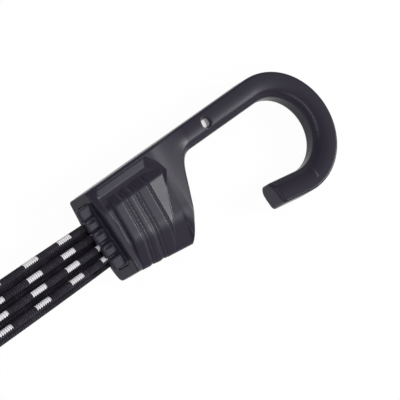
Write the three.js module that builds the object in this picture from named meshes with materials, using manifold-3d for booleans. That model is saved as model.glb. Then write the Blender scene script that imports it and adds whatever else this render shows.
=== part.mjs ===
// Bungee cord: eight elastic strands in two rows, with the same moulded hook at each end.
import * as THREE from "three";
import { mergeVertices } from "three/addons/utils/BufferGeometryUtils.js";
import Module from "manifold-3d";

const wasm = await Module();
wasm.setup();

// Driving dimensions in millimetres. In a hook's own frame X runs from the casing's mouth to the crown
// of the bight, +Y is the spine side, the bight opens towards -Y and Z = 0 is the parting plane.
const overallLength = 400; // crown to crown, relaxed
const clearance = 0.3; // between pieces that seat on each other

// Arm, bight and tip
const barWidth = 8.5; // in the plane of the bight
const barDepth = 9;
const outerRound = 1.6;
const innerRound = { width: 4.8, depth: 2.6 }; // broad, so that a rail or line runs in without a sharp edge
const faceStep = 3; // from the spine to where the casing's shoulder has run out on the arm
const bightRadius = 13.4; // inner
const armReach = 81; // mouth to the bight's centre
const bightEndAngle = -97; // degrees, measured from +X
const bightSteps = 18;
const tipLength = 11.8;
const tipRound = 1.3;
const tipShares = [0, 0.35, 1]; // of the rounding, for the rings that close the tip

// Casing
const casingDepth = 14.8;
const frameDepth = 13.6; // of the smooth frame round the ribbed belly
const mouthDrop = 9.8; // lower edge at the mouth, below the bight's centre
const bellyDrop = 12.8; // lower edge at the foot of the flank
const bellyLength = 25.5; // mouth to the foot of the flank
const flankLength = 47.5; // mouth to where the flank's fillet meets the arm
const flankSteps = 9;
const flankFoot = { along: 0.44, rise: 0.31 }; // shares of the flank's run and rise that shape its curve
const flankThroat = 0.57;
const thinFrom = 0.35; // share of the flank where the casing starts to thin to the arm
const keelEnd = 0.8; // share of the flank where the keel's rounding has become the arm's
const rimRound = 0.4;
const collarLength = 2.7;
const spineHalf = 5; // half the depth of the collar's top edge
const collarKeel = { rise: 4.2, draw: 1.3, half: 5.3 }; // how the collar draws in above its lower edge
const spineRound = 1.4;
const shoulderRound = 1;
const crease = { at: -0.3, fall: 0.105 }; // the line where the lands turn into the keel, and its slope
const keelHalf = 3; // half the depth of the keel's lower edge
const keelRound = 1.5;

// Ribbed belly in its recess
const recessFloorDepth = 11.6; // between the floors of the two recesses
const recessTop = 20.4; // above the bight's centre
const bellyTop = 17.6;
const bellyShoulder = 12.9; // height of the chevron's point and of the roof's crease
const recessLength = 26.8;
const recessPoint = 34;
const bellyPanelLength = 25.6;
const bellyPoint = 30.2;
const recessLean = 0.5; // run along X for each unit of Y
const bellyLean = 0.41;
const roofDepth = 2.3;
const rampDrop = 0.9; // how far the last land falls towards the chevron
const collarGroove = { end: 5.05, depth: 0.9, slope: 0.4 };
const grooves = [ // between the lands: a shallow valley, then a fine cut
  { start: 9.4, valley: 10.5, rise: 11.35, end: 12 },
  { start: 14, valley: 15.5, rise: 16.4, end: 17.1 },
  { start: 21.2, valley: 21.7, rise: 22, end: 22.5 },
];
const valleyDepth = 0.42;
const cutDepth = 0.4;
const ribbedKeel = { lift: 1.6, to: 18.4, full: 19.8 }; // the frame's lower edge behind the ribs

// Steel core and its locating holes
const coreWidth = 4.4;
const coreDepth = 6;
const coreRound = 0.9;
const coreCornerSteps = 2;
const coreStart = 25;
const coreTipLength = 6.5;
const locatorDiameter = 3.9;
const locatorAt = 57.8; // from the mouth

// Strand comb
const combCentre = 6.6; // above the bight's centre
const combWidth = 24.4;
const combDepth = 8.8;
const combFace = 0.6; // behind the mouth
const combLength = 7.4;
const combRound = 2.2;
const fingerCount = 5;
const fingerPitch = 4.85;
const fingerWidth = 4.1;
const fingerThickness = 1.7;
const fingerTop = 5; // above the parting plane, on the front face only
const fingerReach = 6.4; // past the mouth
const fingerTip = 1.2;
const lugLength = 3;
const lugHeight = 1;
const lugDepth = 5;
const lugAt = 5; // from the mouth
const pocketLength = 2.8; // of the room for the fingers, from the mouth
const cavityLength = 18;

// Strands and their ferrules
const strandDiameter = 2.7;
const coverWall = 0.4;
const latexDiameter = 1.3;
const strandsPerRow = 4;
const lanePitch = 4.15;
const rowGap = 4.1; // between the two rows' centres
const laneCentre = 5.15; // above the bight's centre
const boreDiameter = strandDiameter + 2 * clearance;
const ferruleWall = 0.28;
const ferruleLength = 7;
const strandTail = 0.6; // past the ferrule
const strandSteps = 10;

// The strands' lay from the mouth to the middle, chosen by hand: distance from the mouth, spread of the
// lanes, drop towards the table, share left of the gap between the rows, and the rows' shift to each
// side of the lanes.
const laneShift = 0.9; // in the comb
const lay = [
  { along: 8, spread: 1.02, drop: 0, gap: 1, shift: 0.95 },
  { along: 18, spread: 1.05, drop: 0.7, gap: 0.97, shift: 1.02 },
  { along: 32, spread: 1.09, drop: 2, gap: 0.9, shift: 1.1 },
  { along: 50, spread: 1.12, drop: 3.2, gap: 0.83, shift: 1.15 },
  { along: 72, spread: 1.13, drop: 3.95, gap: 0.8, shift: 1 },
];
const layMiddle = { spread: 1.13, drop: 4.15, gap: 0.8, shift: 0 };

const spineTop = bightRadius + barWidth;
const hookLength = armReach + spineTop;
const mouthX = overallLength / 2 - hookLength;
const strandEnd = combFace + combLength + clearance + ferruleLength + strandTail;

const radians = THREE.MathUtils.degToRad;
const lerp = THREE.MathUtils.lerp;
const smoothstep = THREE.MathUtils.smoothstep;

// Solids from closed geometry, and geometry from solids
function solid(geometry) {
  const bare = geometry.clone();
  bare.deleteAttribute("normal");
  bare.deleteAttribute("uv");
  const merged = mergeVertices(bare, 1e-4);
  const mesh = new wasm.Mesh({
    numProp: 3,
    vertProperties: merged.attributes.position.array,
    triVerts: new Uint32Array(merged.index.array),
  });
  return new wasm.Manifold(mesh);
}

function geometryOf(manifold) {
  const mesh = manifold.getMesh();
  const geometry = new THREE.BufferGeometry();
  geometry.setAttribute("position", new THREE.BufferAttribute(mesh.vertProperties, 3));
  geometry.setIndex(new THREE.BufferAttribute(mesh.triVerts, 1));
  return geometry;
}

// A closed skin through rings of equal count, each anticlockwise about the direction of travel.
function loft(rings) {
  const count = rings[0].length;
  const last = (rings.length - 1) * count;
  const index = [];
  for (let start = 0; start < last; start += count) {
    for (let j = 0; j < count; j++) {
      const a = start + j;
      const b = start + ((j + 1) % count);
      index.push(a, b, b + count, a, b + count, a + count);
    }
  }
  for (let j = 1; j + 1 < count; j++) {
    index.push(0, j + 1, j, last, last + j, last + j + 1);
  }
  const geometry = new THREE.BufferGeometry().setFromPoints(rings.flat());
  geometry.setIndex(index);
  return geometry;
}

// A rounded section in the plane across the bar: x is the height and y the depth.
function section(top, bottom, half, topCorner, bottomCorner, cornerSteps = 4) {
  const corners = [
    { y: top - topCorner.width, z: half - topCorner.depth, round: topCorner, from: 0 },
    { y: bottom + bottomCorner.width, z: half - bottomCorner.depth, round: bottomCorner, from: 90 },
    { y: bottom + bottomCorner.width, z: bottomCorner.depth - half, round: bottomCorner, from: 180 },
    { y: top - topCorner.width, z: topCorner.depth - half, round: topCorner, from: 270 },
  ];
  return corners.flatMap(({ y, z, round, from }) =>
    Array.from({ length: cornerSteps + 1 }, (_, i) => {
      const angle = radians(from + (90 * i) / cornerSteps);
      return new THREE.Vector2(y + round.width * Math.cos(angle), z + round.depth * Math.sin(angle));
    }),
  );
}

// A section across the hook from the corners of its front half: height, depth, and how far the rounding
// reaches along the edges before and after the corner. The back half mirrors it.
function softSection(front) {
  const steps = [2, 1, 3, 1]; // at the spine, the shoulder, the crease and the keel
  const near = front.map((place, i) => ({ ...place, steps: steps[i] }));
  const far = near.map((place) => ({ ...place, z: -place.z, before: place.after, after: place.before }));
  const outline = [...near, ...far.reverse()];
  return outline.flatMap((place, i) => {
    const turn = new THREE.Vector2(place.y, place.z);
    const towards = (next, reach) => {
      const run = new THREE.Vector2(next.y, next.z).sub(turn);
      return turn.clone().addScaledVector(run, Math.min(0.49, reach / run.length()));
    };
    const start = towards(outline.at(i - 1), place.before);
    const end = towards(outline[(i + 1) % outline.length], place.after);
    return new THREE.QuadraticBezierCurve(start, turn, end).getPoints(place.steps);
  });
}

function corner(y, z, before, after = before) {
  return { y, z, before, after };
}

function barSection(inset = 0) {
  const half = barDepth / 2 - inset;
  return softSection([
    corner(spineTop - inset, half, outerRound),
    corner(spineTop - faceStep, half, shoulderRound),
    corner(bightRadius + inset, half, innerRound.width, innerRound.depth),
    corner(bightRadius + inset, shoulderRound, shoulderRound / 2),
  ]);
}

// A section set square to the bar at an angle round the bight, moved on along the tangent there.
function hookRing(outline, angle, advance) {
  const cos = Math.cos(radians(angle));
  const sin = Math.sin(radians(angle));
  return outline.map(
    (p) => new THREE.Vector3(armReach + p.x * cos + advance * sin, p.x * sin - advance * cos, p.y),
  );
}

function armRing(outline, x) {
  return hookRing(outline, 90, x - armReach);
}

function bightRings(outline) {
  return Array.from({ length: bightSteps + 1 }, (_, i) =>
    hookRing(outline, lerp(90, bightEndAngle, i / bightSteps), 0),
  );
}

function lowerEdge(x) {
  return lerp(-mouthDrop, -bellyDrop, x / bellyLength);
}

function creaseLine(x) {
  return crease.at - crease.fall * x;
}

function collarRing(x, inset) {
  const half = casingDepth / 2 - inset;
  const outline = softSection([
    corner(spineTop - inset, spineHalf - inset, spineRound),
    corner(bellyShoulder, half, shoulderRound),
    corner(lowerEdge(x) + collarKeel.rise, half - collarKeel.draw, keelRound),
    corner(lowerEdge(x) + inset, collarKeel.half - inset, keelRound),
  ]);
  return armRing(outline, x);
}

function frameRing(x, lift) {
  const half = frameDepth / 2;
  const outline = softSection([
    corner(spineTop, half, spineRound),
    corner(bellyShoulder, half, shoulderRound),
    corner(creaseLine(x), half, shoulderRound),
    corner(lowerEdge(x) + lift, keelHalf, keelRound),
  ]);
  return armRing(outline, x);
}

// The flank carries the frame's corners over into the arm's.
function flankRing(edge, along) {
  const thin = smoothstep(edge.x, lerp(bellyLength, flankLength, thinFrom), flankLength);
  const soft = smoothstep(along, 0, keelEnd);
  const half = lerp(frameDepth / 2, barDepth / 2, thin);
  const band = (creaseLine(bellyLength) - lowerEdge(bellyLength)) * (1 - soft);
  const fade = (from, to) => lerp(from, to, soft);
  const outline = softSection([
    corner(spineTop, half, lerp(spineRound, outerRound, thin)),
    corner(fade(bellyShoulder, spineTop - faceStep), half, shoulderRound),
    corner(edge.y + band, half, fade(shoulderRound, innerRound.width), fade(shoulderRound, innerRound.depth)),
    corner(edge.y, fade(keelHalf, shoulderRound), fade(keelRound, shoulderRound / 2)),
  ]);
  return armRing(outline, edge.x);
}

// Smooth outer form: collar at the mouth, frame round the belly, flank, arm, bight and tip.
function hookForm() {
  const rings = [
    collarRing(0, rimRound),
    collarRing(rimRound, 0),
    collarRing(collarLength, 0),
    frameRing(collarLength + rimRound, ribbedKeel.lift),
    frameRing(ribbedKeel.to, ribbedKeel.lift),
    frameRing(ribbedKeel.full, 0),
  ];
  const foot = new THREE.Vector2(bellyLength, lowerEdge(bellyLength));
  const throat = new THREE.Vector2(flankLength, bightRadius);
  const flank = new THREE.CubicBezierCurve(
    foot,
    new THREE.Vector2(lerp(foot.x, throat.x, flankFoot.along), lerp(foot.y, throat.y, flankFoot.rise)),
    new THREE.Vector2(lerp(foot.x, throat.x, flankThroat), throat.y),
    throat,
  );
  for (let i = 0; i <= flankSteps; i++) {
    rings.push(flankRing(flank.getPoint(i / flankSteps), i / flankSteps));
  }
  rings.push(...bightRings(barSection()));
  for (const share of tipShares) {
    const back = tipRound * (1 - Math.sqrt(1 - (1 - share) ** 2));
    rings.push(hookRing(barSection(share * tipRound), bightEndAngle, tipLength - back));
  }
  return solid(loft(rings));
}

// A prism with sloped walls on one face of the casing, through outlines at rising depths.
function prism(levels) {
  return solid(loft(levels.map(({ outline, z }) => outline.map(([x, y]) => new THREE.Vector3(x, y, z)))));
}

function chevron(start, top, length, point, lean) {
  const below = -bellyDrop - barWidth;
  return [
    [start, below],
    [point - lean * (bellyShoulder - below), below],
    [point, bellyShoulder],
    [length, top],
    [start, top],
  ];
}

function recess(face) {
  const floor = recessFloorDepth / 2;
  const surface = frameDepth / 2;
  const inner = chevron(collarLength, bellyTop, bellyPanelLength, bellyPoint, bellyLean);
  const outer = chevron(collarLength, recessTop, recessLength, recessPoint, recessLean);
  const cut = prism([
    { outline: inner, z: floor },
    { outline: outer, z: surface },
    { outline: outer, z: casingDepth },
  ]);
  return face > 0 ? cut : cut.mirror([0, 0, 1]);
}

// The belly's lands and grooves, clipped to the chevron.
function belly() {
  const ring = (x, depth) => {
    const half = casingDepth / 2 - depth - rampDrop * smoothstep(x, grooves.at(-1).end, bellyPoint);
    const outline = softSection([
      corner(bellyTop, half - roofDepth, shoulderRound / 2),
      corner(bellyShoulder, half, shoulderRound),
      corner(creaseLine(x), half, shoulderRound),
      corner(lowerEdge(x) + depth, keelHalf, keelRound),
    ]);
    return armRing(outline, x);
  };
  const rings = [
    ring(collarLength - rimRound, collarGroove.depth),
    ring(collarGroove.end - collarGroove.slope, collarGroove.depth),
    ring(collarGroove.end, 0),
  ];
  for (const { start, valley, rise, end } of grooves) {
    rings.push(ring(start, 0), ring(valley, valleyDepth), ring(rise, 0));
    rings.push(ring(lerp(rise, end, 0.5), cutDepth), ring(end, 0));
  }
  rings.push(ring(bellyPanelLength, 0), ring(bellyPoint, 0));
  const outline = chevron(collarLength - rimRound, bellyTop, bellyPanelLength, bellyPoint, bellyLean);
  const clip = prism([
    { outline, z: -casingDepth },
    { outline, z: casingDepth },
  ]);
  return solid(loft(rings)).intersect(clip);
}

// The room for the comb and the ferrules, with a step for the fingers and a pocket for each snap lug.
function cavity() {
  const half = combDepth / 2 + clearance;
  const reach = combWidth / 2 + clearance;
  const round = { width: combRound, depth: combRound };
  const outline = section(combCentre + reach, combCentre - reach, half, round, round);
  let room = solid(loft([armRing(outline, -rimRound), armRing(outline, cavityLength)]));
  const rise = fingerTop + clearance;
  const step = section(combCentre + reach, combCentre - reach, rise, round, round);
  const front = solid(loft([armRing(step, -rimRound), armRing(step, pocketLength)]));
  room = room.add(front.trimByPlane([0, 0, 1], 0));
  const height = lugHeight + 2 * clearance;
  const pocket = new THREE.BoxGeometry(lugLength + 2 * clearance, 2 * height, lugDepth + 2 * clearance);
  for (const side of [-1, 1]) {
    room = room.add(solid(pocket.clone().translate(lugAt, combCentre + side * reach, 0)));
  }
  return room;
}

function coreSolid(grow) {
  const middle = bightRadius + barWidth / 2;
  const reach = coreWidth / 2 + grow;
  const round = { width: coreRound, depth: coreRound };
  const half = coreDepth / 2 + grow;
  const outline = section(middle + reach, middle - reach, half, round, round, coreCornerSteps);
  const rings = [armRing(outline, coreStart - grow), ...bightRings(outline)];
  rings.push(hookRing(outline, bightEndAngle, coreTipLength + grow));
  return solid(loft(rings));
}

function locatorHoles() {
  const radius = locatorDiameter / 2;
  const hole = new THREE.CylinderGeometry(radius, radius, barDepth, 16).rotateX(Math.PI / 2);
  const middle = bightRadius + barWidth / 2;
  const offset = coreDepth / 2 + barDepth / 2;
  const holes = [-1, 1].map((face) => solid(hole.clone().translate(locatorAt, middle, face * offset)));
  return holes[0].add(holes[1]);
}

function hookBody() {
  let body = hookForm();
  for (const face of [-1, 1]) {
    body = body.subtract(recess(face));
  }
  return body.add(belly()).subtract(cavity()).subtract(coreSolid(clearance)).subtract(locatorHoles());
}

// Lanes of the strands in a hook's own frame: the front row first, from the spine down.
function lanes() {
  return [1, -1].flatMap((row) =>
    Array.from({ length: strandsPerRow }, (_, i) => ({
      row,
      offset: ((strandsPerRow - 1) / 2 - i) * lanePitch,
      z: (row * rowGap) / 2,
    })),
  );
}

function strandComb() {
  const half = combDepth / 2;
  const round = { width: combRound, depth: combRound };
  const outline = section(combCentre + combWidth / 2, combCentre - combWidth / 2, half, round, round, 3);
  let comb = solid(loft([armRing(outline, combFace), armRing(outline, combFace + combLength)]));
  const root = pocketLength - clearance;
  const finger = new THREE.Shape();
  finger.moveTo(root, -fingerWidth / 2);
  finger.lineTo(root, fingerWidth / 2);
  finger.lineTo(fingerTip - fingerReach, fingerWidth / 2);
  finger.absarc(fingerTip - fingerReach, fingerWidth / 2 - fingerTip, fingerTip, Math.PI / 2, Math.PI);
  finger.absarc(fingerTip - fingerReach, fingerTip - fingerWidth / 2, fingerTip, Math.PI, Math.PI * 1.5);
  const extrusion = { depth: fingerThickness, bevelEnabled: false, curveSegments: 3 };
  const blade = new THREE.ExtrudeGeometry(finger, extrusion);
  const crown = section(combCentre + combWidth / 2, combCentre - combWidth / 2, fingerTop, round, round, 3);
  const sleeve = solid(loft([armRing(crown, -2 * fingerReach), armRing(crown, combFace + combLength)]));
  for (let i = 0; i < fingerCount; i++) {
    const y = combCentre + (i - (fingerCount - 1) / 2) * fingerPitch;
    comb = comb.add(solid(blade.clone().translate(0, y, fingerTop - fingerThickness)).intersect(sleeve));
  }
  const ramp = new THREE.Shape();
  ramp.moveTo(-lugLength / 2, lugHeight);
  ramp.lineTo(-lugLength / 2, -combRound);
  ramp.lineTo(lugLength / 2, -combRound);
  ramp.lineTo(lugLength / 2, lugHeight / 4);
  const lug = new THREE.ExtrudeGeometry(ramp, { depth: lugDepth, bevelEnabled: false });
  lug.translate(0, 0, -lugDepth / 2);
  for (const turn of [0, Math.PI]) {
    const y = combCentre + Math.cos(turn) * (combWidth / 2);
    comb = comb.add(solid(lug.clone().rotateX(turn).translate(lugAt, y, 0)));
  }
  const bore = new THREE.CylinderGeometry(boreDiameter / 2, boreDiameter / 2, 4 * combLength, 8);
  bore.rotateZ(Math.PI / 2);
  for (const { row, offset, z } of lanes()) {
    comb = comb.subtract(solid(bore.clone().translate(0, laneCentre + offset + row * laneShift, z)));
  }
  return comb;
}

function ferrule() {
  const inner = boreDiameter / 2;
  const outer = inner + ferruleWall;
  const profile = [
    new THREE.Vector2(inner, 0),
    new THREE.Vector2(outer, 0),
    new THREE.Vector2(outer, ferruleLength),
    new THREE.Vector2(inner, ferruleLength),
    new THREE.Vector2(inner, 0),
  ];
  return new THREE.LatheGeometry(profile, 8).rotateZ(-Math.PI / 2);
}

// The centre line of a strand from the far ferrule to the near one. Both hooks are the same part turned
// end for end, so the rows' shift changes sides on the way.
function strandPath({ row, offset, z }) {
  const point = (x, { spread, drop, gap, shift }) =>
    new THREE.Vector3(
      x,
      laneCentre + offset * spread + row * shift * Math.sign(x),
      casingDepth / 2 + z * gap - drop,
    );
  const seat = { spread: 1, drop: 0, gap: 1, shift: laneShift };
  const half = (end) => [
    point(end * (mouthX + strandEnd), seat),
    point(end * mouthX, seat),
    ...lay.map((bend) => point(end * (mouthX - bend.along), bend)),
  ];
  return new THREE.CatmullRomCurve3([...half(-1), point(0, layMiddle), ...half(1).reverse()]);
}

function ringPoints(diameter) {
  const sides = 8;
  return Array.from({ length: sides }, (_, i) => {
    const angle = (2 * Math.PI * (i + 0.5)) / sides;
    return new THREE.Vector2((diameter / 2) * Math.cos(angle), (diameter / 2) * Math.sin(angle));
  });
}

function tube(path, diameter, bore) {
  const shape = new THREE.Shape(ringPoints(diameter));
  if (bore) {
    shape.holes.push(new THREE.Path(ringPoints(bore)));
  }
  return new THREE.ExtrudeGeometry(shape, { steps: strandSteps, extrudePath: path, bevelEnabled: false });
}

const finishes = {
  nylon: { color: 0x35333d, roughness: 0.42, metalness: 0 },
  comb: { color: 0x2f2d37, roughness: 0.5, metalness: 0 },
  steel: { color: 0xc9c7cb, roughness: 0.3, metalness: 1 },
  aluminium: { color: 0xb9bcc0, roughness: 0.4, metalness: 1 },
  textile: { color: 0x1c1a20, roughness: 0.85, metalness: 0 },
  latex: { color: 0xd8c9a6, roughness: 0.7, metalness: 0 },
};

function piece(name, geometry, finish) {
  const mesh = new THREE.Mesh(geometry, new THREE.MeshStandardMaterial(finishes[finish]));
  mesh.name = name;
  return mesh;
}

// Both hooks come from the same moulds, so their geometry is made once.
const hookGeometry = {
  body: geometryOf(hookBody()),
  core: geometryOf(coreSolid(0)),
  comb: geometryOf(strandComb()),
  ferrule: ferrule(),
};

function hookEnd(end, turn) {
  const group = new THREE.Group();
  group.add(piece(`${end}_hook_body`, hookGeometry.body, "nylon"));
  group.add(piece(`${end}_steel_core`, hookGeometry.core, "steel"));
  group.add(piece(`${end}_strand_comb`, hookGeometry.comb, "comb"));
  lanes().forEach(({ row, offset, z }, i) => {
    const sleeve = piece(`${end}_ferrule_${i + 1}`, hookGeometry.ferrule, "aluminium");
    sleeve.position.set(combFace + combLength + clearance, laneCentre + offset + row * laneShift, z);
    group.add(sleeve);
  });
  group.rotation.y = turn;
  group.position.set(turn ? -mouthX : mouthX, 0, casingDepth / 2);
  return group;
}

const bungee = new THREE.Group();
bungee.add(hookEnd("near", 0), hookEnd("far", Math.PI));
lanes().forEach((lane, i) => {
  const path = strandPath(lane);
  const coverBore = strandDiameter - 2 * coverWall;
  bungee.add(piece(`strand_cover_${i + 1}`, tube(path, strandDiameter, coverBore), "textile"));
  bungee.add(piece(`strand_core_${i + 1}`, tube(path, latexDiameter), "latex"));
});

export default bungee;
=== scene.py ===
# Bungee cord: a flat bundle of braided elastic strands with the same moulded hook at each end
import math

import bmesh
import bpy
import numpy as np
from mathutils import Matrix, Vector


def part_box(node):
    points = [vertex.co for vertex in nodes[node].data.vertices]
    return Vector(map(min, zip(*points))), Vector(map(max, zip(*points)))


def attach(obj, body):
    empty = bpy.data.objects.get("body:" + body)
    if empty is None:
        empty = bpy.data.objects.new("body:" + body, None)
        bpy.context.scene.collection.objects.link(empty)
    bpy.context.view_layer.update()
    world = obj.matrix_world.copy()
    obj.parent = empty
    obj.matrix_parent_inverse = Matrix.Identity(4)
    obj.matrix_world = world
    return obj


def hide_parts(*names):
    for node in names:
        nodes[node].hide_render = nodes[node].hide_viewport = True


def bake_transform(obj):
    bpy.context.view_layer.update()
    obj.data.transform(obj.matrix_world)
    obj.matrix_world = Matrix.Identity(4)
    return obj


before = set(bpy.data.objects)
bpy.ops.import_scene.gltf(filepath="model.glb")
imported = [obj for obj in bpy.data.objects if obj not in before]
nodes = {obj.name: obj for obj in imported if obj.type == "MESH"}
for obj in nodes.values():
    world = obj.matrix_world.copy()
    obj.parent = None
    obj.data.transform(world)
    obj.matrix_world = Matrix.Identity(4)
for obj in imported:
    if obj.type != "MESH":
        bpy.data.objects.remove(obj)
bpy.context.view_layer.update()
print("frame loaded with", len(nodes), "nodes")

mm = 0.001  # pieces are modelled in millimetres and scaled when they are placed
hookLow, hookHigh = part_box("near_hook_body")
mouthX = hookLow.x / mm  # plane of the near casing's mouth
partingZ = (hookLow.z + hookHigh.z) / 2 / mm  # height of the hooks' parting plane
spineTop = hookHigh.y / mm  # outer face of the spine, from the bight's centre
hookLength = (hookHigh.x - hookLow.x) / mm


# Working steps that every piece uses

def deselectAll():
    if bpy.context.mode != "OBJECT":
        bpy.ops.object.mode_set(mode="OBJECT")
    bpy.ops.object.select_all(action="DESELECT")


def makeActive(piece):
    deselectAll()
    piece.select_set(True)
    bpy.context.view_layer.objects.active = piece


def applyModifier(piece, kind, **settings):
    makeActive(piece)
    modifier = piece.modifiers.new(kind.lower(), kind)
    for key, value in settings.items():
        setattr(modifier, key, value)
    bpy.ops.object.modifier_apply(modifier=modifier.name)


def boolean(piece, tool, operation="DIFFERENCE"):
    applyModifier(piece, "BOOLEAN", object=tool, operation=operation, solver="EXACT")
    bpy.data.objects.remove(tool)


def joinInto(piece, others):
    makeActive(piece)
    for other in others:
        other.select_set(True)
    bpy.ops.object.join()


# One even skin over all that was joined or cut, then polished
def skinOver(piece, size, polish):
    applyModifier(piece, "REMESH", mode="VOXEL", voxel_size=size, use_smooth_shade=True)
    applyModifier(piece, "SMOOTH", factor=0.5, iterations=polish)


# In edit mode: fills the open ends, turns every face outwards and leaves edit mode
def closeEnds():
    bpy.ops.mesh.select_all(action="DESELECT")
    bpy.ops.mesh.select_non_manifold()
    bpy.ops.mesh.edge_face_add()
    bpy.ops.mesh.select_all(action="SELECT")
    bpy.ops.mesh.normals_make_consistent(inside=False)
    bpy.ops.object.mode_set(mode="OBJECT")


# A closed skin through rings of points, drawn by extruding a circle from ring to ring
def loft(name, rings):
    deselectAll()
    bpy.ops.mesh.primitive_circle_add(vertices=len(rings[0]), radius=1)
    piece = bpy.context.active_object
    piece.name = name
    bpy.ops.object.mode_set(mode="EDIT")
    mesh = bmesh.from_edit_mesh(piece.data)
    place = mesh.verts.layers.int.new("place")  # each vertex's place in its ring, kept by extrude
    for i, vertex in enumerate(mesh.verts):
        vertex[place] = i
    for i, ring in enumerate(rings):
        if i:
            bpy.ops.mesh.extrude_region_move()
        mesh = bmesh.from_edit_mesh(piece.data)
        place = mesh.verts.layers.int["place"]
        for vertex in mesh.verts:
            if vertex.select:
                vertex.co = ring[vertex[place]]
        bmesh.update_edit_mesh(piece.data)
    bpy.ops.mesh.edge_face_add()
    closeEnds()
    return piece


cornerSteps = 7  # cuts round each corner of a section
cornerRoom = 1.02  # two roundings on one edge are drawn back to leave a little of it straight


# A corner of a section: height, depth, and how far its rounding reaches along the edges before and after it
def corner(y, z, before, after=None):
    return y, z, before, before if after is None else after


# A section across the hook from the corners of its front half. The back half mirrors it.
def softSection(corners):
    outline = [(Vector((y, z)), before, after) for y, z, before, after in corners]
    outline += [(Vector((y, -z)), after, before) for y, z, before, after in reversed(corners)]
    points = []
    for i, (at, before, after) in enumerate(outline):
        last, _, lastReach = outline[i - 1]
        following, nextReach, _ = outline[(i + 1) % len(outline)]
        back, ahead = last - at, following - at
        start = at + back * before / max(back.length, cornerRoom * (before + lastReach))
        end = at + ahead * after / max(ahead.length, cornerRoom * (after + nextReach))
        for k in range(cornerSteps + 1):
            t = k / cornerSteps
            points.append((1 - t) ** 2 * start + 2 * t * (1 - t) * at + t ** 2 * end)
    return points


def ringAt(section, x):
    return [Vector((x, y, z)) for y, z in section]


def mix(a, b, share):
    return a + (b - a) * share


def smoothStep(x, low, high):
    share = min(1, max(0, (x - low) / (high - low)))
    return share * share * (3 - 2 * share)


def quarterTurn(steps):
    return [math.radians(90 * i / steps) for i in range(steps + 1)]


# A box with its edges rounded, from its two corners
def roundedBox(name, low, high, offset, segments=4, alongX=False):
    deselectAll()
    bpy.ops.mesh.primitive_cube_add(size=1)
    piece = bpy.context.active_object
    piece.name = name
    bpy.ops.object.mode_set(mode="EDIT")
    mesh = bmesh.from_edit_mesh(piece.data)
    for vertex in mesh.verts:  # the new cube runs from -0.5 to 0.5
        vertex.co = [mix(a, b, c + 0.5) for a, b, c in zip(low, high, vertex.co)]
    bpy.ops.mesh.select_mode(type="EDGE")
    for edge in mesh.edges:
        run = edge.verts[0].co - edge.verts[1].co
        edge.select_set(not alongX or abs(run.x) > abs(run.y) + abs(run.z))
    bmesh.update_edit_mesh(piece.data)
    bpy.ops.mesh.bevel(offset=offset, segments=segments, affect="EDGES")
    bpy.ops.object.mode_set(mode="OBJECT")
    return piece


# A round cutting tool about its middle, upright or laid along X
def rod(at, diameter, length, sides, alongX=False):
    deselectAll()
    turn = (0, math.pi / 2 if alongX else 0, 0)
    bpy.ops.mesh.primitive_cylinder_add(
        vertices=sides, radius=diameter / 2, depth=length, location=at, rotation=turn)
    piece = bpy.context.active_object
    bpy.ops.object.transform_apply()
    return piece


# A flattened ball from its middle and half sizes
def pebble(at, halfSizes, segments):
    deselectAll()
    bpy.ops.mesh.primitive_uv_sphere_add(segments=segments, ring_count=segments // 2, radius=1, location=at)
    piece = bpy.context.active_object
    piece.scale = halfSizes
    bpy.ops.object.transform_apply()
    return piece


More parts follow.
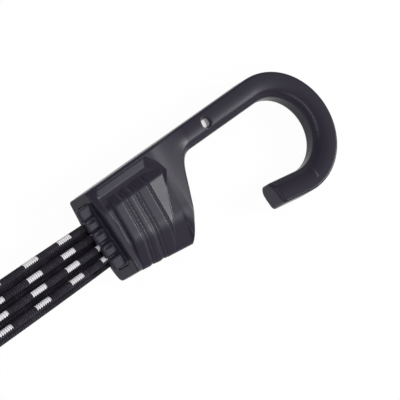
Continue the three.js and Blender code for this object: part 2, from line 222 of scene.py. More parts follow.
# Hook body: one moulding, with a ribbed casing, an arm, a bight and a tip. Lengths run from the mouth,
# heights from the bight's centre and half depths from the parting plane.
hook = {
    # the bar of the arm, bight and tip: its front leans in from the crown to an edge over the bight
    "barWidth": 8.5, "barHalf": 4.5, "outerRound": 0.8, "barCrown": 4.4, "crownRound": (2, 1.2),
    "innerEdge": (1.8, 0.42), "edgeRound": 1.1, "innerHalf": 2.4, "innerRound": 0.8,
    "bightStart": 90, "bightEnd": -98.6, "bightSteps": 64,  # degrees round the bight
    "tipLength": 12.6, "tipRound": 1.2, "tipSlant": 0.19, "tipSteps": 5,
    # the collar round the mouth: its side ends at the cheek, its back edge draws in further
    "casingHalf": 7.4, "spineHalf": 5.6, "collarLength": 2.9, "rimRound": 0.4, "rimSteps": 3,
    "cheek": (3.6, 0.5), "collarRound": 1.5, "collarKeel": 6.2, "collarKeelRound": 1.6,
    "flare": 0.16, "draw": 0.8, "backEdge": 0.5, "backFlare": 3, "backDraw": 1.3,
    # the frame round the recess, from the rail at the spine over the crease to the keel, which drops from the
    # mouth to the end of the belly
    "frameHalf": 6.8, "railLean": 0.55, "railRound": 1, "shoulder": 12.9, "shoulderFall": 0.3,
    "crease": (-0.3, -0.105), "creaseRound": 2.4, "creaseFall": 1.8,
    "mouthDrop": 9.8, "bellyDrop": 13.15, "bellyLength": 28.5, "keelHalf": 0.8, "keelRound": 1.8,
    "ribDrop": 1.6, "ribsEnd": (18, 19.8), "frameMargin": 1, "frameStep": 0.5, "frameRings": 15,
    # the flank from the keel's foot up to the arm: its curve's handles and its spans are shares of its run
    "flankLength": 47.9, "flankSteps": 60, "flankLow": (0.307, 0.306), "flankHigh": 0.525,
    "thinFrom": 0.05, "softSpan": (0.1, 0.8), "innerSpan": (0.45, 0.95),
    "creaseGap": 1.2, "creaseEase": 1.5, "keelSwell": 0.5,
    # the recess with its pointed end, and the ribbed panel in it
    "recessFloor": 5.92, "recessTop": 20.4, "recessLength": 26.8, "recessPoint": 34, "recessLean": 0.5,
    "panelTop": 17.6, "panelLength": 25.6, "panelPoint": 30.2, "panelLean": 0.41,
    "roofDepth": 2.3, "roofRound": 0.3, "landRound": 0.9, "landKeelRound": 1.5, "keelDrop": 0.36,
    "panelSlope": 0.13, "rampFrom": 22.3, "rampDrop": 0.9,
    "collarGroove": ((1.9, 0.9), (5.2, 0.9), (5.6, 0.2), (6, 0)),  # length and depth
    "grooves": (  # lengths at which each groove has the depths below
        (9.3, 10.5, 11.3, 11.45, 11.675, 12, 12.15),
        (13.9, 15.5, 16.35, 16.5, 16.775, 17.15, 17.3),
        (21.2, 21.75, 21.95, 22.1, 22.2, 22.4, 22.55)),
    "grooveDepths": (0, 0.42, 0.04, 0.04, 0.4, 0.04, 0),  # land, valley, narrow lip, fine cut, lip, land
    # the hole over the steel core, the gate's scar, the mouth and the cavity behind it
    "locatorAt": 57.8, "locatorDiameter": 3.9, "locatorSides": 48, "locatorOut": 2, "coreFace": 2.7,
    "gateAt": (83.1, -17.1, 4.5), "gateHalf": (0.75, 1.6, 0.55),
    "mouth": {"low": (-2, -6.2, -4.7), "high": (2.6, 18.6, 5.5), "offset": 3, "segments": 6},
    "cavity": {"low": (-2, -3.9, -3.9), "high": (17, 15.6, 3.9), "offset": 2, "segments": 4},
    # the skin's voxel, its rounds of smoothing, and the share of its faces kept after thinning
    "skin": 0.19, "polish": 4, "keep": 0.33,
}
bightRadius = spineTop - hook["barWidth"]
armReach = hookLength - spineTop


def lowerEdge(x):
    return -mix(hook["mouthDrop"], hook["bellyDrop"], x / hook["bellyLength"])


def creaseLine(x):
    return hook["crease"][0] + hook["crease"][1] * x


def flankPoint(share):
    foot = Vector((hook["bellyLength"], lowerEdge(hook["bellyLength"])))
    throat = Vector((hook["flankLength"], bightRadius))
    lowX, lowY = hook["flankLow"]
    first = Vector((mix(foot.x, throat.x, lowX), mix(foot.y, throat.y, lowY)))
    second = Vector((mix(foot.x, throat.x, hook["flankHigh"]), throat.y))
    rest = 1 - share
    return rest**3 * foot + 3 * rest**2 * share * first + 3 * rest * share**2 * second + share**3 * throat


def barSection(shrink=0):
    half = hook["barHalf"]
    edgeUp, edgeIn = hook["innerEdge"]
    corners = [
        corner(spineTop, half, hook["outerRound"]),
        corner(bightRadius + hook["barCrown"], half, *hook["crownRound"]),
        corner(bightRadius + edgeUp, half - edgeIn, hook["edgeRound"]),
        corner(bightRadius, hook["innerHalf"], hook["innerRound"])]
    middle = (spineTop + bightRadius) / 2
    return softSection([
        (y + (middle - y) * shrink / (hook["barWidth"] / 2), z * (1 - shrink / half), before, after)
        for y, z, before, after in corners])


def collarSection(x, inset, flare=0, draw=0):
    half = hook["casingHalf"] - inset
    cheekUp, cheekIn = hook["cheek"]
    return softSection([
        corner(spineTop - inset, hook["spineHalf"] - inset, hook["railRound"]),
        corner(hook["shoulder"], half - flare, hook["collarRound"]),
        corner(lowerEdge(x) + cheekUp, half - cheekIn - draw, hook["collarRound"]),
        corner(lowerEdge(x) + inset, hook["collarKeel"] - inset - draw, hook["collarKeelRound"])])


def frameSection(x, lift):
    half = hook["frameHalf"]
    return softSection([
        corner(spineTop, half + hook["railLean"], hook["railRound"]),
        corner(hook["shoulder"], half - hook["shoulderFall"], hook["railRound"]),
        corner(creaseLine(x), half - hook["creaseFall"] - lift, hook["creaseRound"]),
        corner(lowerEdge(x) + lift, hook["keelHalf"], hook["keelRound"])])


# Behind the ribs the keel's face runs on to the flank's edge, where the crease ends
def flankRing(share):
    edge = flankPoint(share)
    foot, throat, rail = hook["bellyLength"], hook["flankLength"], hook["railRound"]
    thin = smoothStep(edge.x, mix(foot, throat, hook["thinFrom"]), throat)
    soft = smoothStep(share, *hook["softSpan"])
    half = mix(hook["frameHalf"], hook["barHalf"], thin)
    edgeUp, edgeIn = hook["innerEdge"]
    apart = creaseLine(edge.x) - edge.y - mix(hook["creaseGap"], edgeUp, soft)
    crease = creaseLine(edge.x) + (math.hypot(apart, hook["creaseEase"]) - apart) / 2
    depth = half - mix(hook["creaseFall"], edgeIn, soft)
    risen = min(1, max(0, (edge.y - lowerEdge(foot)) / (creaseLine(foot) - lowerEdge(foot))))
    keel = mix(hook["keelHalf"], depth, risen ** hook["keelSwell"])
    keel = mix(keel, hook["innerHalf"], smoothStep(share, *hook["innerSpan"]))
    crownBefore, crownAfter = hook["crownRound"]
    return ringAt(softSection([
        corner(spineTop, half + hook["railLean"] * (1 - thin), mix(rail, hook["outerRound"], thin)),
        corner(
            mix(hook["shoulder"], bightRadius + hook["barCrown"], soft),
            half - hook["shoulderFall"] * (1 - soft),
            mix(rail, crownBefore, soft), mix(rail, crownAfter, soft)),
        corner(crease, depth, mix(hook["creaseRound"], hook["edgeRound"], soft)),
        corner(edge.y, keel, mix(hook["keelRound"], hook["innerRound"], soft))]), edge.x)


# A section turned about the bight's centre and moved on along the bar, further on its inner side by the slant
def roundBight(section, angle, advance, slant=0):
    cos, sin = math.cos(math.radians(angle)), math.sin(math.radians(angle))
    middle = spineTop - hook["barWidth"] / 2
    ring = []
    for y, z in section:
        on = advance + slant * (middle - y)
        ring.append(Vector((armReach + y * cos + on * sin, y * sin - on * cos, z)))
    return ring


def hookForm():
    rim, collarEnd = hook["rimRound"], hook["collarLength"]
    flare, draw = hook["flare"], hook["draw"]
    rings = []
    for angle in quarterTurn(hook["rimSteps"]):  # the mouth's rounded rim
        inset = rim * (1 - math.sin(angle))
        rings.append(ringAt(collarSection(0, inset), rim * (1 - math.cos(angle))))
    edge = collarEnd - hook["backEdge"]
    rings.append(ringAt(collarSection(edge, 0, flare, draw), edge))
    flare, draw = hook["backFlare"] * flare, hook["backDraw"] * draw
    rings.append(ringAt(collarSection(collarEnd, 0, flare, draw), collarEnd))
    ribsEnd, liftEnd = hook["ribsEnd"]
    lengths = [collarEnd + hook["frameMargin"], ribsEnd - hook["frameMargin"]]
    lengths += [ribsEnd + hook["frameStep"] * k for k in range(hook["frameRings"])]
    for x in lengths:  # drawn in where the ribs cover it
        lift = hook["ribDrop"] * (1 - smoothStep(x, ribsEnd, liftEnd))
        rings.append(ringAt(frameSection(x, lift), x))
    for i in range(hook["flankSteps"] + 1):  # the flank runs up to the arm
        rings.append(flankRing(i / hook["flankSteps"]))
    for i in range(hook["bightSteps"] + 1):
        angle = mix(hook["bightStart"], hook["bightEnd"], i / hook["bightSteps"])
        rings.append(roundBight(barSection(), angle, 0))
    tip = hook["tipRound"]
    for angle in quarterTurn(hook["tipSteps"]):
        section = barSection(tip * (1 - math.cos(angle)))
        advance = hook["tipLength"] - tip * (1 - math.sin(angle))
        rings.append(roundBight(section, hook["bightEnd"], advance, hook["tipSlant"]))
    return loft("hookForm", rings)


# Outline with a pointed end, seen from the front, that runs out below the keel
def chevron(start, top, length, point, lean):
    below = -hook["bellyDrop"] - hook["barWidth"]
    reach = point - lean * (hook["shoulder"] - below)
    return [(start, below), (reach, below), (point, hook["shoulder"]), (length, top), (start, top)]


def panelOutline(start):
    return chevron(start, hook["panelTop"], hook["panelLength"], hook["panelPoint"], hook["panelLean"])


def prism(name, levels):
    return loft(name, [[Vector((x, y, z)) for x, y in outline] for outline, z in levels])


def recessTool(face):
    start = hook["collarLength"]
    outer = chevron(start, hook["recessTop"], hook["recessLength"], hook["recessPoint"], hook["recessLean"])
    levels = [
        (panelOutline(start), hook["recessFloor"]),
        (outer, hook["frameHalf"]), (outer, 2 * hook["casingHalf"])]
    return prism("recessTool", [(outline, face * z) for outline, z in levels])


# The ribbed panel: lands with a shallow valley and a fine cut between them
def ribbedPanel():
    profile = [*hook["collarGroove"]]
    for groove in hook["grooves"]:
        profile += zip(groove, hook["grooveDepths"])
    profile += [(hook["panelLength"], 0), (hook["panelPoint"], 0)]
    rings = []
    for x, drop in profile:
        ramp = hook["rampDrop"] * smoothStep(x, hook["rampFrom"], hook["panelPoint"])
        half = hook["casingHalf"] - drop - ramp
        low = half - hook["panelSlope"] * (hook["shoulder"] - creaseLine(x))
        rings.append(ringAt(softSection([
            corner(hook["panelTop"], half - hook["roofDepth"], hook["roofRound"]),
            corner(hook["shoulder"], half, hook["landRound"]),
            corner(creaseLine(x), low, hook["creaseRound"]),
            corner(lowerEdge(x) + min(drop, hook["keelDrop"]), hook["keelHalf"], hook["landKeelRound"])]), x))
    piece = loft("ribbedPanel", rings)
    start, _ = profile[0]
    deep = 2 * hook["casingHalf"]
    clip = prism("panelClip", [(panelOutline(start), -deep), (panelOutline(start), deep)])
    boolean(piece, clip, "INTERSECT")
    return piece


def cavityTool():
    tool = roundedBox("mouth", **hook["mouth"], alongX=True)
    boolean(tool, roundedBox("cavity", **hook["cavity"], alongX=True), "UNION")
    return tool


def locatorTool(face):
    depth = hook["barHalf"] + hook["locatorOut"] - hook["coreFace"]
    at = (hook["locatorAt"], spineTop - hook["barWidth"] / 2, face * (hook["coreFace"] + depth / 2))
    return rod(at, hook["locatorDiameter"], depth, hook["locatorSides"])


def hookBody():
    body = hookForm()
    for face in (1, -1):
        boolean(body, recessTool(face))
    boolean(body, ribbedPanel(), "UNION")
    boolean(body, cavityTool())
    for face in (1, -1):
        boolean(body, locatorTool(face))
    boolean(body, pebble(hook["gateAt"], hook["gateHalf"], segments=24), "UNION")  # the gate's raised scar
    skinOver(body, hook["skin"], hook["polish"])
    applyModifier(body, "DECIMATE", ratio=hook["keep"])
    return body


# Both ends use the same mould, so a finished piece is copied, turned end for end and scaled into place
def placeEnds(piece, names):
    makeActive(piece)
    bpy.ops.object.duplicate()
    ends = [piece, bpy.context.active_object]
    for end, name, side in zip(ends, names, (1, -1)):
        end.name = name
        end.scale = (mm, mm, mm)
        end.rotation_euler = (0, 0 if side > 0 else math.pi, 0)
        end.location = (side * mouthX * mm, 0, partingZ * mm)
        makeActive(end)
        bpy.ops.object.transform_apply(location=True, rotation=True, scale=True)
    return ends


hookBodies = placeEnds(hookBody(), ("nearHookBody", "farHookBody"))
for piece, end in zip(hookBodies, ("near", "far")):
    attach(piece, end + "_hook")
    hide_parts(end + "_hook_body")
print("hook bodies:", len(hookBodies[0].data.polygons), "faces each")

# Strands: two rows of elastic cords, each a braided cover over a latex thread
strands = {
    "diameter": 2.7, "cover": {"steps": 980, "sides": 28, "ribDepth": 0.08}, "rib": 0.92,
    "latexDiameter": 1.3, "latex": {"steps": 60, "sides": 10, "ribDepth": 0},
    "perRow": 4, "pitch": 4.15, "rowGap": 4.1, "centre": 5.15, "shift": 0.9, "bore": 3.3, "tail": 15.9,
    "dashPeriod": 17.5, "dashOffset": (-0.2, -0.09, 0, 0.085, 0.3, 0.42, 0.35, 0.3), "dashesBefore": 10,
    "dashRoll": (32, 10, 13, 26, 190, 176, 184, 150),  # degrees from +Z towards +Y
    # the braid is gathered at the near mouth and drawn out a little further on
    "gather": 5.1, "gatherFade": 14.5, "drawn": 1.5, "drawnAt": 36, "drawnWidth": 17,
    "setback": 0.6, "lead": 4.8,  # shifts of the pattern at the mouth and at its start in the casing
}
strandCount = 2 * strands["perRow"]


def laneOf(i):
    row = 1 if i < strands["perRow"] else -1
    offset = ((strands["perRow"] - 1) / 2 - i % strands["perRow"]) * strands["pitch"]
    return row, offset


# Where a strand passes the mouth: height, and depth from the parting plane
def boreAt(i):
    row, offset = laneOf(i)
    return strands["centre"] + offset + row * strands["shift"], row * strands["rowGap"] / 2


# Strand comb: an insert in the mouth, with a bore for each strand and five fingers over the front row
comb = {
    "block": {"low": (0.25, -6.1, -4.6), "high": (2.5, 18.5, 5.3), "offset": 2.9, "segments": 6},
    "stem": {"low": (2, -3.8, -3.8), "high": (8, 15.5, 3.8), "offset": 1.9, "segments": 4},
    "web": {"low": (-5.6, -4.4, 3.55), "high": (1.2, 17.4, 3.95), "offset": 0.15, "segments": 2},
    "boreLength": 40, "boreSides": 32,
    "fingersAt": (-3.2, 1.85, 7.2, 11.9, 16.3), "fingerWidth": 4.1, "fingerReach": 6.4, "fingerEnd": -0.8,
    "fingerTop": 5, "fingerThickness": 1.7, "fingerLean": 0.12, "fingerRound": 0.6,
    "neckRoot": 2.4, "neckTop": 4.2, "neckInset": 0.4, "neckRound": 0.3,
    "dishHalf": (1.9, 0.5, 0.5), "dishInset": 2.2,  # the inset is in half widths from the finger's edge
    "skin": 0.2, "polish": 3,
}


def fingerAndNeck(y):
    half, inset = comb["fingerWidth"] / 2, comb["neckInset"]
    reach, end, top = comb["fingerReach"], comb["fingerEnd"], comb["fingerTop"]
    under = top - comb["fingerThickness"]
    finger = roundedBox(
        "finger", (-reach, y - half, under), (end, y + half, top), comb["fingerRound"], segments=5)
    for vertex in finger.data.vertices:
        vertex.co.z += (vertex.co.y - y) * comb["fingerLean"]
    neck = roundedBox(
        "neck", (-reach / 2, y - half + inset, under),
        (comb["neckRoot"], y + half - inset, comb["neckTop"]), comb["neckRound"], segments=2)
    if y in comb["fingersAt"][1:-1]:  # the outer two fingers have no dish
        at = ((end - reach) / 2, y + half - comb["dishInset"] * comb["dishHalf"][1], top)
        boolean(finger, pebble(at, comb["dishHalf"], segments=32))
    return [finger, neck]


def strandComb():
    block = roundedBox("comb", **comb["block"], alongX=True)
    boolean(block, roundedBox("stem", **comb["stem"], alongX=True), "UNION")
    for i in range(strandCount):
        bore = rod((0, *boreAt(i)), strands["bore"], comb["boreLength"], comb["boreSides"], alongX=True)
        boolean(block, bore)
    fingers = [roundedBox("web", **comb["web"])]
    for y in comb["fingersAt"]:
        fingers += fingerAndNeck(y)
    joinInto(block, fingers)
    skinOver(block, comb["skin"], comb["polish"])
    return block


combs = placeEnds(strandComb(), ("nearStrandComb", "farStrandComb"))
for piece, end in zip(combs, ("near", "far")):
    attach(piece, end + "_hook")
    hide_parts(end + "_strand_comb")
print("strand combs:", len(combs[0].data.polygons), "faces each")

# The strands' lay from the mouth to the middle, in millimetres: distance from the mouth, spread of the lanes,
# share of that for the lower back strands, drop towards the table, share left of the gap between the rows,
# shift of the front row and of the back row
lay = [
    (-15.9, 1, 1, 0, 1, 0.9, 0.9),
    (0, 1, 1, 0, 1, 0.9, 0.9),
    (8, 1.02, 0.94, 0, 0.9, 0.95, 1.3),
    (18, 1.05, 0.92, 0.7, 0.8, 1.02, 1.4),
    (32, 1.08, 0.92, 2, 0.74, 1.1, 1.4),
    (50, 1.11, 0.92, 3.2, 0.7, 1.15, 1.35),
    (72, 1.13, 0.94, 3.95, 0.7, 1, 1.1),
    (mouthX, 1.13, 0.96, 4.15, 0.72, 0, 0),
]


def routePoints(i):
    row, offset = laneOf(i)
    points = []
    for end in (1, -1):
        for along, spread, tuck, drop, gap, front, back in lay if end > 0 else lay[-2::-1]:
            reach = offset * spread * (tuck if row < 0 and offset < 0 else 1)
            y = strands["centre"] + reach + (front if row > 0 else -back) * end
            z = partingZ + row * strands["rowGap"] / 2 * gap - drop
            points.append(Vector((end * (mouthX - along), y, z)))
    return points


# Points spaced evenly enough along a smooth curve through the route
def smoothRoute(points, cuts=40):
    ends = [2 * points[0] - points[1], *points, 2 * points[-1] - points[-2]]
    route = []
    for a, b, c, d in zip(ends, ends[1:], ends[2:], ends[3:]):
        span = (c - b).length
        inward = (c - a) * span / (c - a).length
        outward = (d - b) * span / (d - b).length
        for k in range(cuts):
            t = k / cuts
            route.append(
                (2 * t**3 - 3 * t**2 + 1) * b + (t**3 - 2 * t**2 + t) * inward
                + (3 * t**2 - 2 * t**3) * c + (t**3 - t**2) * outward)
    return np.array([*route, points[-1]])


tailPace = 1 - strands["gather"] / strands["gatherFade"]  # length per length of pattern inside the casing


# Distance along a strand from the place in its braid's pattern
def bunched(pattern):
    outside = np.maximum(pattern, 0)
    gathered = strands["gather"] * np.exp(-outside / strands["gatherFade"])
    drawn = strands["drawn"] * np.exp(-((outside - strands["drawnAt"]) / strands["drawnWidth"]) ** 2)
    eased = gathered - drawn
    return outside - strands["setback"] + eased + np.minimum(pattern, 0) * tailPace


# A grid rolled into a tube along a strand's route, with cross ribs, and the pattern's place as its UV map
def tubeAlong(name, i, diameter, steps, sides, ribDepth):
    route = smoothRoute(routePoints(i))
    stepLengths = np.linalg.norm(np.diff(route, axis=0), axis=1)
    runs = np.concatenate([[0], np.cumsum(stepLengths)]) - strands["tail"]
    start, end = -(strands["tail"] + strands["lead"]) / tailPace, runs[-1] + strands["setback"]
    pattern = np.linspace(start, end, steps + 1)
    distance = np.clip(bunched(pattern), runs[0], runs[-1])
    centres = np.stack([np.interp(distance, runs, route[:, k]) for k in range(3)], axis=1)
    around = np.linspace(-math.pi, math.pi, sides + 1) + math.radians(strands["dashRoll"][i])
    radius = diameter / 2 - ribDepth * (0.5 - 0.5 * np.cos(2 * math.pi * pattern / strands["rib"]))
    deselectAll()
    bpy.ops.mesh.primitive_grid_add(x_subdivisions=steps, y_subdivisions=sides, size=1, calc_uvs=True)
    piece = bpy.context.active_object
    piece.name = name
    flat = np.empty(len(piece.data.vertices) * 3)
    piece.data.vertices.foreach_get("co", flat)
    flat = flat.reshape(-1, 3) + 0.5  # the new grid runs from -0.5 to 0.5
    ring, side = np.rint(flat[:, 0] * steps).astype(int), np.rint(flat[:, 1] * sides).astype(int)
    tube = centres[ring].copy()
    tube[:, 1] += radius[ring] * np.sin(around[side])
    tube[:, 2] += radius[ring] * np.cos(around[side])
    piece.data.vertices.foreach_set("co", (tube * mm).ravel())
    uv = np.empty(len(piece.data.loops) * 2)
    piece.data.uv_layers.active.data.foreach_get("uv", uv)
    uv = uv.reshape(-1, 2)
    dashes = (start + uv[:, 0] * (end - start)) / strands["dashPeriod"] - strands["dashOffset"][i]
    uv[:, 0] = dashes + strands["dashesBefore"]  # stays above zero
    piece.data.uv_layers.active.data.foreach_set("uv", uv.ravel())
    bpy.ops.object.mode_set(mode="EDIT")
    bpy.ops.mesh.select_all(action="SELECT")
    bpy.ops.mesh.remove_doubles(threshold=1e-6)
    closeEnds()
    bpy.ops.object.shade_smooth_by_angle(angle=math.radians(60))
    return piece, centres * mm


strandPieces, latexPieces = [], []
for i in range(strandCount):
    strand, centres = tubeAlong(f"braidedStrand{i + 1}", i, strands["diameter"], **strands["cover"])
    latex, _ = tubeAlong(f"latexThread{i + 1}", i, strands["latexDiameter"], **strands["latex"])
    for piece, kind in ((strand, "cover"), (latex, "core")):
        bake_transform(piece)
        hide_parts(f"strand_{kind}_{i + 1}")
    strandPieces.append(strand)
    latexPieces.append(latex)


# Materials

def srgb(text):
    channels = [int(text[k:k + 2], 16) / 255 for k in (1, 3, 5)]
    return [*(c / 12.92 if c <= 0.04045 else ((c + 0.055) / 1.055) ** 2.4 for c in channels), 1]


def addNode(tree, kind, settings=None, links=None):
    node = tree.nodes.new("ShaderNode" + kind)
    for key, value in (settings or {}).items():
        if isinstance(key, int) or key in node.inputs:
            node.inputs[key].default_value = value
        else:
            setattr(node, key, value)
    for key, source in (links or {}).items():
        tree.links.new(source, node.inputs[key])
    return node


def newMaterial(name):
    material = bpy.data.materials.new(name)
    material.use_nodes = True
    tree = material.node_tree
    return material, tree, tree.nodes["Principled BSDF"]


def perMm(size):
    return 1 / (size * mm)  # a texture's scale from the real size of its pattern


# Glass-filled nylon, moulded in a spark-eroded tool: satin, with a fine even grain and faint flow clouds.
# The grain is drawn coarser than the real one, so that it shows.
nylon = {"cloudMm": 14, "grainMm": 0.45, "grainDeep": 0.02, "duller": 0.06, "glossier": 0.05}


def glassFilledNylon(name, light, dark, roughness):
    material, tree, shader = newMaterial(name)
    coords = addNode(tree, "TexCoord")
    clouds = addNode(tree, "TexNoise", {"Scale": perMm(nylon["cloudMm"]), "Detail": 4},
                     {"Vector": coords.outputs["Object"]})
    tint = addNode(tree, "Mix", {"data_type": "RGBA", 6: srgb(light), 7: srgb(dark)},
                   {0: clouds.outputs["Fac"]})
    tree.links.new(tint.outputs[2], shader.inputs["Base Color"])
    grain = addNode(tree, "TexNoise", {"Scale": perMm(nylon["grainMm"]), "Detail": 2},
                    {"Vector": coords.outputs["Object"]})
    sheen = addNode(tree, "MapRange",
                    {"To Min": roughness - nylon["glossier"], "To Max": roughness + nylon["duller"]},
                    {"Value": clouds.outputs["Fac"]})
    tree.links.new(sheen.outputs["Result"], shader.inputs["Roughness"])
    bump = addNode(tree, "Bump", {"Strength": 0.12, "Distance": nylon["grainDeep"] * mm},
                   {"Height": grain.outputs["Fac"]})
    tree.links.new(bump.outputs["Normal"], shader.inputs["Normal"])
    shader.inputs["IOR"].default_value = 1.53
    shader.inputs["Specular IOR Level"].default_value = 0.18
    return material


# Polyester braid over latex: matt black yarn in fine cross ribs, with short white floats along one side, and
# the ribs' light and shade painted into both yarns' colours
braid = {
    # each yarn's first colour is painted shade in the rib hollows, its second painted light on the crests
    "black": ("#131117", "#55515e"), "white": ("#bfbcc2", "#f6f4f7"),  # in the hollows and on the crests
    "betweenDashes": (0.308, 0.318),  # half the black stretch with its soft end, in shares of the period
    "dashHalf": (0.135, 0.115), "scallop": 0.022,  # half the dash's width with its soft edge, of the girth
    "looseMm": 3, "waver": 5, "wornMm": 5,  # how the ribs wander, in radians, and the size of worn patches
    "fibreMm": 0.3,  # coarser than real fibres, so that they show
    "plaits": 8, "plaitShare": 0.5, "reliefDeep": 0.08,
}


def braidedPolyester(name):
    material, tree, shader = newMaterial(name)
    coords = addNode(tree, "TexCoord")
    surface = {"Vector": coords.outputs["Object"]}
    place = addNode(tree, "SeparateXYZ", links={0: coords.outputs["UV"]})
    ribs = strands["dashPeriod"] / strands["rib"]
    turns = addNode(tree, "Math", {"operation": "MULTIPLY", 1: 2 * math.pi * ribs}, {0: place.outputs["X"]})
    loose = addNode(tree, "TexNoise", {"Scale": perMm(braid["looseMm"]), "Detail": 2}, surface)
    turns = addNode(tree, "Math", {"operation": "MULTIPLY_ADD", 1: braid["waver"]},
                    {0: loose.outputs["Fac"], 2: turns.outputs[0]})
    wave = addNode(tree, "Math", {"operation": "COSINE"}, {0: turns.outputs[0]})
    # white where a dash's length and width meet
    within = addNode(tree, "Math", {"operation": "FRACT"}, {0: place.outputs["X"]})
    along = addNode(tree, "Math", {"operation": "SUBTRACT", 1: 0.5}, {0: within.outputs[0]})
    fromMiddle = addNode(tree, "Math", {"operation": "ABSOLUTE"}, {0: along.outputs[0]})
    blackEnd, dashStart = braid["betweenDashes"]
    onLength = addNode(tree, "MapRange", {"From Min": blackEnd, "From Max": dashStart},
                       {"Value": fromMiddle.outputs[0]})
    across = addNode(tree, "Math", {"operation": "SUBTRACT", 1: 0.5}, {0: place.outputs["Y"]})
    fromLine = addNode(tree, "Math", {"operation": "ABSOLUTE"}, {0: across.outputs[0]})
    scallop = addNode(tree, "Math", {"operation": "MULTIPLY_ADD", 1: -braid["scallop"]},
                      {0: wave.outputs[0], 2: fromLine.outputs[0]})
    dashEdge, dashFull = braid["dashHalf"]
    onWidth = addNode(tree, "MapRange", {"From Min": dashEdge, "From Max": dashFull},
                      {"Value": scallop.outputs[0]})
    dash = addNode(tree, "Math", {"operation": "MULTIPLY"}, {0: onLength.outputs[0], 1: onWidth.outputs[0]})
    # crests painted lighter and hollows painted darker, as the ribs' painted light and shade, flecked by
    # fibres and worn in patches
    fibre = addNode(tree, "TexNoise", {"Scale": perMm(braid["fibreMm"]), "Detail": 3}, surface)
    paintedRibLight = addNode(tree, "MapRange", {"From Min": -0.9, "From Max": 0.3}, {"Value": wave.outputs[0]})
    fleck = addNode(tree, "MapRange", {"From Min": 0.33, "From Max": 0.67}, {"Value": fibre.outputs["Fac"]})
    worn = addNode(tree, "TexNoise", {"Scale": perMm(braid["wornMm"]), "Detail": 2}, surface)
    patch = addNode(tree, "MapRange", {"From Min": 0.35, "From Max": 0.65, "To Min": 0.45},
                    {"Value": worn.outputs["Fac"]})
    shade = addNode(tree, "Math", {"operation": "MULTIPLY"}, {0: paintedRibLight.outputs[0], 1: fleck.outputs[0]})
    shade = addNode(tree, "Math", {"operation": "MULTIPLY"}, {0: shade.outputs[0], 1: patch.outputs[0]})
    # Both mixes paint the ribs' shade into the hollows and their light onto the crests
    paintedHollowShade, top = (srgb(colour) for colour in braid["black"])
    black = addNode(tree, "Mix", {"data_type": "RGBA", 6: paintedHollowShade, 7: top}, {0: shade.outputs[0]})
    paintedHollowShade, top = (srgb(colour) for colour in braid["white"])
    white = addNode(tree, "Mix", {"data_type": "RGBA", 6: paintedHollowShade, 7: top}, {0: paintedRibLight.outputs[0]})
    yarn = addNode(tree, "Mix", {"data_type": "RGBA"},
                   {0: dash.outputs[0], 6: black.outputs[2], 7: white.outputs[2]})
    tree.links.new(yarn.outputs[2], shader.inputs["Base Color"])
    shader.inputs["Roughness"].default_value = 0.8
    shader.inputs["Specular IOR Level"].default_value = 0.15
    plait = addNode(tree, "Math", {"operation": "MULTIPLY_ADD", 1: 2 * math.pi * braid["plaits"]},
                    {0: place.outputs["Y"], 2: turns.outputs[0]})
    cross = addNode(tree, "Math", {"operation": "SINE"}, {0: plait.outputs[0]})
    relief = addNode(tree, "Math", {"operation": "MULTIPLY_ADD", 1: braid["plaitShare"]},
                     {0: cross.outputs[0], 2: fibre.outputs["Fac"]})
    bump = addNode(tree, "Bump", {"Strength": 0.5, "Distance": braid["reliefDeep"] * mm},
                   {"Height": relief.outputs[0]})
    tree.links.new(bump.outputs["Normal"], shader.inputs["Normal"])
    return material


# Drawn metal: bright, with fine lines along the bar, much longer than they are wide and drawn coarser than
# real ones, so that they show
metal = {"lengthwise": 0.05, "deep": 0.01, "duller": 0.1, "glossier": 0.08}


def drawnMetal(name, colour, roughness, lineMm):
    material, tree, shader = newMaterial(name)
    coords = addNode(tree, "TexCoord")
    stretch = addNode(tree, "Mapping", {"Scale": (metal["lengthwise"], 1, 1)},
                      {"Vector": coords.outputs["Object"]})
    lines = addNode(tree, "TexNoise", {"Scale": perMm(lineMm), "Detail": 3}, {"Vector": stretch.outputs[0]})
    shine = addNode(tree, "MapRange",
                    {"To Min": roughness - metal["glossier"], "To Max": roughness + metal["duller"]},
                    {"Value": lines.outputs["Fac"]})
    tree.links.new(shine.outputs["Result"], shader.inputs["Roughness"])
    bump = addNode(tree, "Bump", {"Strength": 0.1, "Distance": metal["deep"] * mm},
                   {"Height": lines.outputs["Fac"]})
    tree.links.new(bump.outputs["Normal"], shader.inputs["Normal"])
    shader.inputs["Base Color"].default_value = srgb(colour)
    shader.inputs["Metallic"].default_value = 1
    return material


# Natural latex thread: cream, matt and dusted with talc
def naturalLatex(name, cream, talcWhite, talcMm):
    material, tree, shader = newMaterial(name)
    coords = addNode(tree, "TexCoord")
    talc = addNode(tree, "TexNoise", {"Scale": perMm(talcMm), "Detail": 3},
                   {"Vector": coords.outputs["Object"]})
    tint = addNode(tree, "Mix", {"data_type": "RGBA", 6: srgb(cream), 7: srgb(talcWhite)},
                   {0: talc.outputs["Fac"]})
    tree.links.new(tint.outputs[2], shader.inputs["Base Color"])
    shader.inputs["Roughness"].default_value = 0.7
    return material


def dress(pieces, material):
    for piece in pieces:
        piece.data.materials.clear()
        piece.data.materials.append(material)


hookNylon = glassFilledNylon("Glass-filled nylon, satin", light="#302c39", dark="#282531", roughness=0.31)
combNylon = glassFilledNylon("Nylon insert, satin", light="#322e3b", dark="#2a2732", roughness=0.38)
dress(hookBodies, hookNylon)
dress(combs, combNylon)
dress(strandPieces, braidedPolyester("Braided polyester, black with white floats"))
dress(latexPieces, naturalLatex("Natural latex thread", cream="#d8c9a6", talcWhite="#e9e0cc", talcMm=0.8))
cores = [nodes["near_steel_core"], nodes["far_steel_core"]]
dress(cores, drawnMetal("Drawn steel bar", colour="#dedce0", roughness=0.62, lineMm=0.2))
ferrules = [node for name, node in nodes.items() if "_ferrule_" in name]
dress(ferrules, drawnMetal("Aluminium crimp sleeve", colour="#c4c6ca", roughness=0.38, lineMm=0.15))
print("materials done")

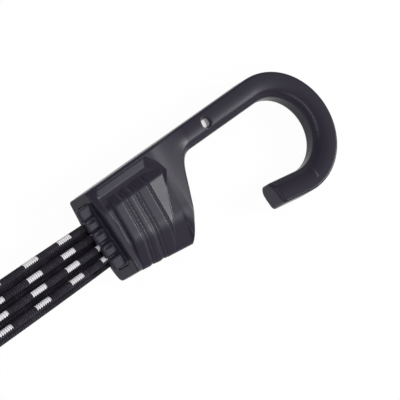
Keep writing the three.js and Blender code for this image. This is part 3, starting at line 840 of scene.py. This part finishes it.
# Camera: looks down on the near hook from the strap's side, rolled so that the cord runs up to the right
view = {
    "target": (135.9, -2.4, 10.4), "tilt": 34.65, "lean": 2.2, "roll": 35.58,
    "frameWidth": 133.9, "distance": 3000, "sensor": 36,
}
tilt, lean, roll = (math.radians(view[key]) for key in ("tilt", "lean", "roll"))
toCamera = Vector((-math.sin(tilt) * math.cos(lean), math.sin(lean), math.cos(tilt) * math.cos(lean)))
strapRight = (Vector((1, 0, 0)) - toCamera.x * toCamera).normalized()
strapUp = toCamera.cross(strapRight)
imageRight = math.cos(roll) * strapRight - math.sin(roll) * strapUp
imageUp = math.sin(roll) * strapRight + math.cos(roll) * strapUp
target = Vector(view["target"]) * mm


def lookFrom(position, right, up, back):
    turn = Matrix((right, up, back)).transposed().to_4x4()
    return Matrix.Translation(position) @ turn


cameraData = bpy.data.cameras.new("camera")
cameraData.sensor_width = view["sensor"]
cameraData.lens = view["sensor"] * view["distance"] / view["frameWidth"]
cameraData.clip_end = 100
camera = bpy.data.objects.new("camera", cameraData)
bpy.context.scene.collection.objects.link(camera)
camera.matrix_world = lookFrom(target + toCamera * view["distance"] * mm, imageRight, imageUp, toCamera)
bpy.context.scene.camera = camera

# Soft studio light: a key box over the keel's side and a weaker one overhead, in metres and watts, with
# azimuths in degrees round from +X
lamps = {
    "keyBox": {"azimuth": -24.6, "elevation": 38, "distance": 1.6, "size": (0.4, 0.4), "power": 14.2},
    "topBox": {"azimuth": -165, "elevation": 70, "distance": 1, "size": (1.5, 0.22), "power": 5.4},
}
for name, lamp in lamps.items():
    azimuth, elevation = math.radians(lamp["azimuth"]), math.radians(lamp["elevation"])
    level = math.cos(elevation)
    towards = Vector((level * math.cos(azimuth), level * math.sin(azimuth), math.sin(elevation)))
    data = bpy.data.lights.new(name, "AREA")
    data.shape = "RECTANGLE"
    data.size, data.size_y = lamp["size"]
    data.energy = lamp["power"]
    light = bpy.data.objects.new(name, data)
    bpy.context.scene.collection.objects.link(light)
    side = Vector((0, 0, 1)).cross(towards).normalized()
    light.matrix_world = lookFrom(target + towards * lamp["distance"], side, towards.cross(side), towards)

# White surroundings that grow dim overhead, and a pale floor that still takes a faint shadow
studio = {
    "fade": (0.1, 0.5), "horizon": 1, "overhead": 0.15,
    "white": "#ffffff", "floorSize": 6, "floorRoughness": 0.9, "floorGlow": 0.97,
}


def lightSurroundings():
    world = bpy.data.worlds.new("studio")
    bpy.context.scene.world = world
    world.use_nodes = True
    tree = world.node_tree
    background = tree.nodes["Background"]
    coords = addNode(tree, "TexCoord")
    height = addNode(tree, "SeparateXYZ", links={0: coords.outputs["Generated"]})
    fadeFrom, fadeTo = studio["fade"]
    strength = addNode(tree, "MapRange", {
        "From Min": fadeFrom, "From Max": fadeTo, "To Min": studio["horizon"], "To Max": studio["overhead"]},
        {"Value": height.outputs["Z"]})
    background.inputs["Color"].default_value = srgb(studio["white"])
    tree.links.new(strength.outputs["Result"], background.inputs["Strength"])


# A matt white sheet, which the camera and reflections see as almost plain white
def paleFloor():
    material, tree, shader = newMaterial("Pale floor")
    shader.inputs["Base Color"].default_value = srgb(studio["white"])
    shader.inputs["Roughness"].default_value = studio["floorRoughness"]
    ray = addNode(tree, "LightPath")
    glow = addNode(tree, "Emission", {"Color": srgb(studio["white"]), "Strength": 1})
    seen = addNode(tree, "Math", {"operation": "ADD"},
                   {0: ray.outputs["Is Camera Ray"], 1: ray.outputs["Is Glossy Ray"]})
    seen = addNode(tree, "Math", {"operation": "ADD", "use_clamp": True},
                   {0: seen.outputs[0], 1: ray.outputs["Is Transmission Ray"]})
    share = addNode(tree, "Math", {"operation": "MULTIPLY", 1: studio["floorGlow"]}, {0: seen.outputs[0]})
    blend = addNode(tree, "MixShader", links={0: share.outputs[0], 1: shader.outputs[0], 2: glow.outputs[0]})
    tree.links.new(blend.outputs[0], tree.nodes["Material Output"].inputs["Surface"])
    return material


lightSurroundings()
deselectAll()
bpy.ops.mesh.primitive_plane_add(size=studio["floorSize"])
floor = bpy.context.active_object
floor.name = "floor"
dress([floor], paleFloor())
bpy.context.scene.view_settings.view_transform = "Standard"
print("camera and light set")
